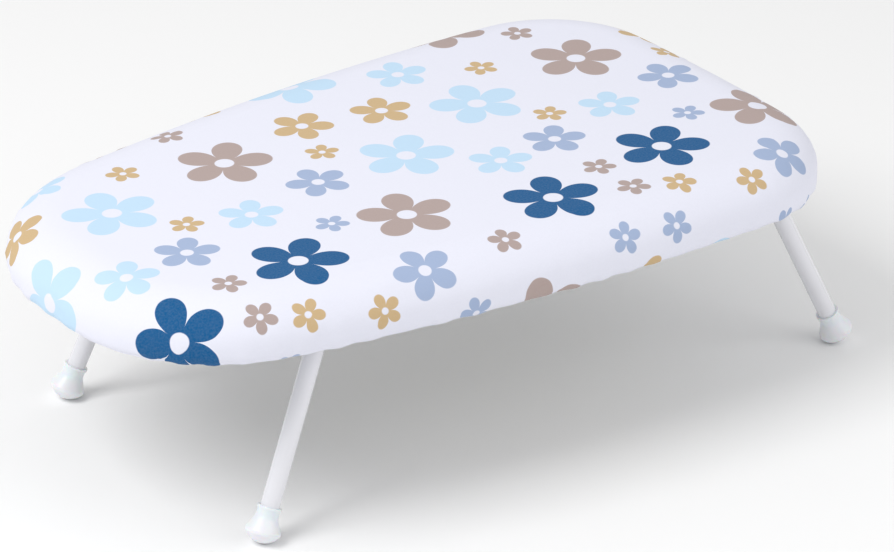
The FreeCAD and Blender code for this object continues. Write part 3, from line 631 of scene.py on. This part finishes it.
cotton, tree, shader = start_finish("printed cotton", Roughness=0.85, Specular_IOR_Level=0.2, Sheen_Weight=0.06)
flat = add_node(tree, "ShaderNodeUVMap", uv_map="flat_cut")
split = add_node(tree, "ShaderNodeSeparateXYZ")
tree.links.new(flat.outputs["UV"], split.inputs["Vector"])
flat_x, flat_y = split.outputs["X"], split.outputs["Y"]
print_paint = add_print(tree, flat_x, flat_y)
tone = add_range(tree, add_noise(tree, 700, 2), 0.3, 0.7, 0.0, 0.06)
print_paint = mix_colours(tree, tone, print_paint, colour(200, 202, 210))
tree.links.new(print_paint, shader.inputs["Base Color"])
print("The print takes", len(tree.nodes), "nodes")

# %% Weave
THREAD = 0.45 * MM
warp = calculate(tree, "SINE", calculate(tree, "MULTIPLY", flat_x, 2 * math.pi / THREAD))
weft = calculate(tree, "SINE", calculate(tree, "MULTIPLY", flat_y, 2 * math.pi / THREAD))
weave = calculate(tree, "MULTIPLY_ADD", calculate(tree, "MULTIPLY", warp, weft), 0.5, 0.5)
weave_bump = add_bump(tree, shader, weave, 0.05 * MM, 0.5)
crease = add_node(tree, "ShaderNodeBump", Strength=0.35, Distance=0.8 * MM)
tree.links.new(add_noise(tree, 28, 4, 0.55), crease.inputs["Height"])
tree.links.new(crease.outputs["Normal"], weave_bump.inputs["Normal"])

finish_piece(cover, "cover_cotton", "board", cotton)
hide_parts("cover")

# %% [markdown]
# ## Stitches and welds
# The hem is closed by a line of stitches, and each rail is held in the rim by a weld at each end.
# Both are one small shape repeated along a line. Such a row is quickest made by hand: model one
# unit, repeat it with an Array, bend the row along a curve with a Curve modifier, and apply both.

# %% A row along a line
def run_along(unit, places, pitch, closed):
    """Repeats a unit, which lies along X from the origin, along a line of places."""
    curve = bpy.data.curves.new("line", "CURVE")
    curve.dimensions = "3D"
    spline = curve.splines.new("POLY")
    spline.points.add(len(places) - 1)
    for point, place in zip(spline.points, places):
        point.co = (*place, 1.0)
    spline.use_cyclic_u = closed
    line = bpy.data.objects.new("line", curve)
    bpy.context.collection.objects.link(line)
    length = spline.calc_length()
    count = round(length / pitch)
    row = unit.modifiers.new("row", "ARRAY")
    row.use_relative_offset = False
    row.use_constant_offset = True
    row.constant_offset_displace = (length / count, 0, 0)
    row.count = count
    bend = unit.modifiers.new("bend", "CURVE")
    bend.object = line
    apply_modifiers(unit)
    bpy.data.objects.remove(line)
    return count


# %% Hem stitches
STITCH_PITCH = 3.0 * MM
STITCH_LENGTH = 2.3 * MM
thread_finish, tree, shader = start_finish("sewing thread", Roughness=0.7, Sheen_Weight=0.2)
tone = mix_colours(tree, add_noise(tree, 3000, 1), colour(235, 236, 240), colour(250, 250, 252))
tree.links.new(tone, shader.inputs["Base Color"])
add_bump(tree, shader, add_noise(tree, 4000, 1), 0.05 * MM, 0.5)

clear_selection()
bpy.ops.mesh.primitive_cylinder_add(vertices=6, radius=0.28 * MM, depth=STITCH_LENGTH,
                                    location=(STITCH_PITCH / 2, 0, 0), rotation=(0, math.radians(90), 0))
stitches = bpy.context.object
bpy.ops.object.transform_apply(location=True, rotation=True, scale=True)
bpy.ops.object.mode_set(mode="EDIT")
bpy.ops.mesh.select_all(action="SELECT")
bpy.ops.mesh.bevel(offset=0.14 * MM, segments=1)
bpy.ops.object.mode_set(mode="OBJECT")
bpy.ops.object.shade_smooth()
print(run_along(stitches, ring(18.6, COVER_BOTTOM - 0.12, gathers(0.6)), STITCH_PITCH, True), "stitches")
finish_piece(stitches, "hem_stitches", "board", thread_finish)

# %% Welds
WELD_RADIUS = 1.5 * MM
WELD_INSET = 9.6


def make_weld(rail, side):
    """The weld along one end of a rail, as a row of overlapping ripples on the rim's inside."""
    low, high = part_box(rail)
    line = ring(WELD_INSET, 0) + (0, 0, low[2] - 0.3 * MM)
    margin = 4 * MM
    chosen = [place for place in line if low[0] + margin < place[0] < high[0] - margin and place[1] * side > 0]
    chosen.sort(key=lambda place: place[0])
    clear_selection()
    bpy.ops.mesh.primitive_uv_sphere_add(segments=10, ring_count=6, radius=WELD_RADIUS)
    ripple = bpy.context.object
    bpy.ops.object.mode_set(mode="EDIT")
    bpy.ops.mesh.select_all(action="SELECT")
    bpy.ops.transform.resize(value=(0.6, 1.0, 0.8))
    bpy.ops.object.mode_set(mode="OBJECT")
    bpy.ops.object.shade_smooth()
    run_along(ripple, chosen, 1.3 * MM, False)
    hand = "left" if side > 0 else "right"
    finish_piece(ripple, f"weld_{rail.split('_')[0]}_{hand}", "board", grey_paint)


# %% [markdown]
# ## Painted, moulded and plated finishes
# Legs: steel tube with a glossy white powder coat, which always has a slight orange-peel ripple.
# Feet: white plastic, a little clear, so light goes a short way in. Brackets and rivets: zinc plate,
# bright with a faint mottle. Frame and mesh: a dull grey paint.

# %% Powder coat
def make_powder_coat(name, paint, roughness):
    """Baked powder paint: an even colour, a soft gloss and a slight orange peel."""
    finish, tree, shader = start_finish(name, Coat_Weight=0.25, Coat_Roughness=0.15)
    tone = mix_colours(tree, add_noise(tree, 15), paint, tuple(0.93 * value for value in paint[:3]) + (1.0,))
    tree.links.new(tone, shader.inputs["Base Color"])
    gloss = add_range(tree, add_noise(tree, 60), 0.3, 0.7, roughness - 0.05, roughness + 0.07)
    tree.links.new(gloss, shader.inputs["Roughness"])
    add_bump(tree, shader, add_noise(tree, 450, 1), 0.05 * MM, 0.5)
    return finish


white_coat = make_powder_coat("white powder coat", colour(232, 232, 237), 0.2)
grey_paint = make_powder_coat("grey frame paint", colour(188, 190, 193), 0.45)
mesh_paint = make_powder_coat("grey mesh paint", colour(176, 179, 183), 0.5)

for rail in ("nose_cross_rail", "tail_cross_rail"):
    for side in (1, -1):
        make_weld(rail, side)

# %% Plastic
def make_plastic(name, tint, roughness, depth):
    """Moulded plastic: light scatters a little below its fine moulded grain."""
    finish, tree, shader = start_finish(name, Subsurface_Weight=0.35, Subsurface_Scale=depth)
    tone = mix_colours(tree, add_noise(tree, 90), tint, tuple(0.95 * value for value in tint[:3]) + (1.0,))
    tree.links.new(tone, shader.inputs["Base Color"])
    gloss = add_range(tree, add_noise(tree, 200), 0.3, 0.7, roughness - 0.06, roughness + 0.06)
    tree.links.new(gloss, shader.inputs["Roughness"])
    add_bump(tree, shader, add_noise(tree, 1500, 2), 0.02 * MM, 0.6)
    return finish


foot_plastic = make_plastic("white foot plastic", colour(236, 238, 242), 0.35, 0.004)
bush_nylon = make_plastic("nylon", colour(228, 226, 216), 0.45, 0.002)

# %% Zinc plate
def make_zinc(name, roughness):
    """Zinc-plated steel: metal with a faint mottle and fine wear."""
    finish, tree, shader = start_finish(name, Metallic=1.0)
    tone = mix_colours(tree, add_noise(tree, 120, 4), colour(178, 180, 184), colour(206, 208, 210))
    tree.links.new(tone, shader.inputs["Base Color"])
    gloss = add_range(tree, add_noise(tree, 260, 4), 0.3, 0.7, roughness - 0.08, roughness + 0.12)
    tree.links.new(gloss, shader.inputs["Roughness"])
    add_bump(tree, shader, add_noise(tree, 900, 3), 0.02 * MM, 0.5)
    return finish


bracket_zinc = make_zinc("zinc bracket", 0.34)
rivet_zinc = make_zinc("zinc rivet", 0.28)

# %% Elastic
elastic_finish, tree, shader = start_finish("elastic", Roughness=0.8)
tone = mix_colours(tree, add_noise(tree, 1200, 2), colour(232, 232, 228), colour(246, 246, 244))
tree.links.new(tone, shader.inputs["Base Color"])
add_bump(tree, shader, add_noise(tree, 1800, 1), 0.1 * MM, 0.6)

# %% Finishes of the CAD nodes
CAD_FINISHES = [
    ("leg_tube", white_coat), ("foot", foot_plastic), ("bush", bush_nylon), ("saddle_rivets", rivet_zinc),
    ("stop_rivets", rivet_zinc), ("saddle", bracket_zinc), ("stop", bracket_zinc), ("rim_frame", grey_paint),
    ("mesh_panel", mesh_paint), ("cross_rail", grey_paint), ("hem_elastic", elastic_finish),
    ("foam_pad", foam_finish), ("cover", cotton),
]
for node_name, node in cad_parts.items():
    finish = next(finish for ending, finish in CAD_FINISHES if node_name.endswith(ending))
    node.data.materials.clear()
    node.data.materials.append(finish)
print("All", len(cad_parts), "CAD nodes have a finish")

# %% [markdown]
# ## Floor and light
# A pale floor and big soft lights keep the shadows faint. One large light high on the left is
# stronger, so shadows fall softly to the right and under the board.

# %% Floor
bpy.ops.mesh.primitive_plane_add(size=14)
floor = bpy.context.object
floor.name = "floor"
floor_finish, tree, shader = start_finish("pale floor", Roughness=0.9)
shader.inputs["Base Color"].default_value = (0.94, 0.94, 0.94, 1)
floor.data.materials.append(floor_finish)

# %% Light
def add_softbox(name, place, aim, size, power):
    """A square area light that faces a point."""
    bpy.ops.object.light_add(type="AREA", location=place)
    light = bpy.context.object
    light.name = name
    light.rotation_euler = (Vector(aim) - Vector(place)).to_track_quat("-Z", "Y").to_euler()
    light.data.size = size
    light.data.energy = power


add_softbox("key light", (-1.7, 0.1, 2.1), (0, 0, 0.1), 1.3, 34)
add_softbox("fill light", (1.4, -2.2, 1.6), (0, 0, 0.1), 2.0, 16)
sky = bpy.data.worlds.new("studio")
sky.use_nodes = True
sky.node_tree.nodes["Background"].inputs["Color"].default_value = (1, 1, 1, 1)
sky.node_tree.nodes["Background"].inputs["Strength"].default_value = 0.66
bpy.context.scene.world = sky
bpy.context.scene.view_settings.view_transform = "Standard"
